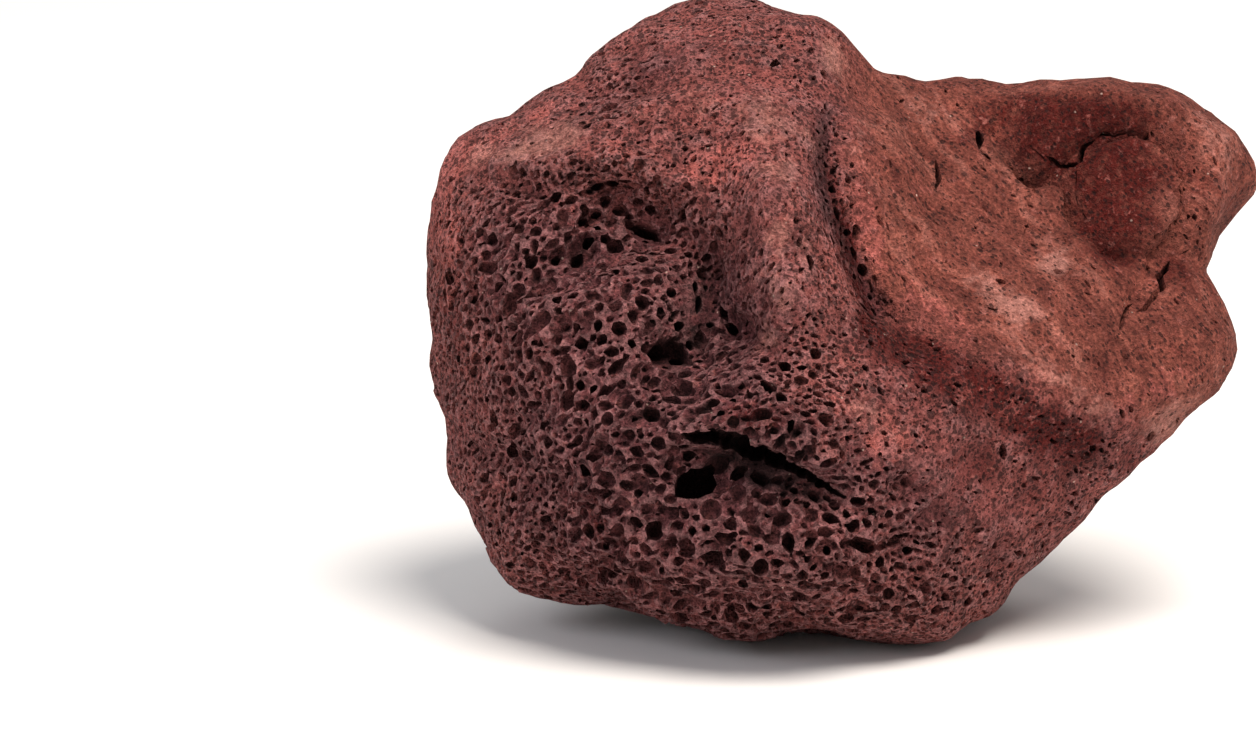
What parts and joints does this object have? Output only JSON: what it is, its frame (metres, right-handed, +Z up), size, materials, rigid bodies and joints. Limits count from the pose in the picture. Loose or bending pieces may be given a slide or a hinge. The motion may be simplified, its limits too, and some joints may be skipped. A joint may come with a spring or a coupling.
{
  "type": "red lava rock",
  "caption": "Angular boulder of red vesicular lava with a coarse bubbly face, a smoother brick-red crust, a curled side lobe and a flat patch that it stands on.",
  "frame": {"origin": "middle of the flat patch that the stone stands on", "axes": "+X to the right along the stone's greatest extent, towards the curled lobe; +Y away from the viewer, so the coarse bubbly face looks towards -Y; +Z up"},
  "size_m": [0.2076, 0.1435, 0.1533],
  "materials": {
    "scoria": "matte"
  },
  "bodies": {
    "root": {"lava_rock": "scoria"}
  },
  "joints": []
}
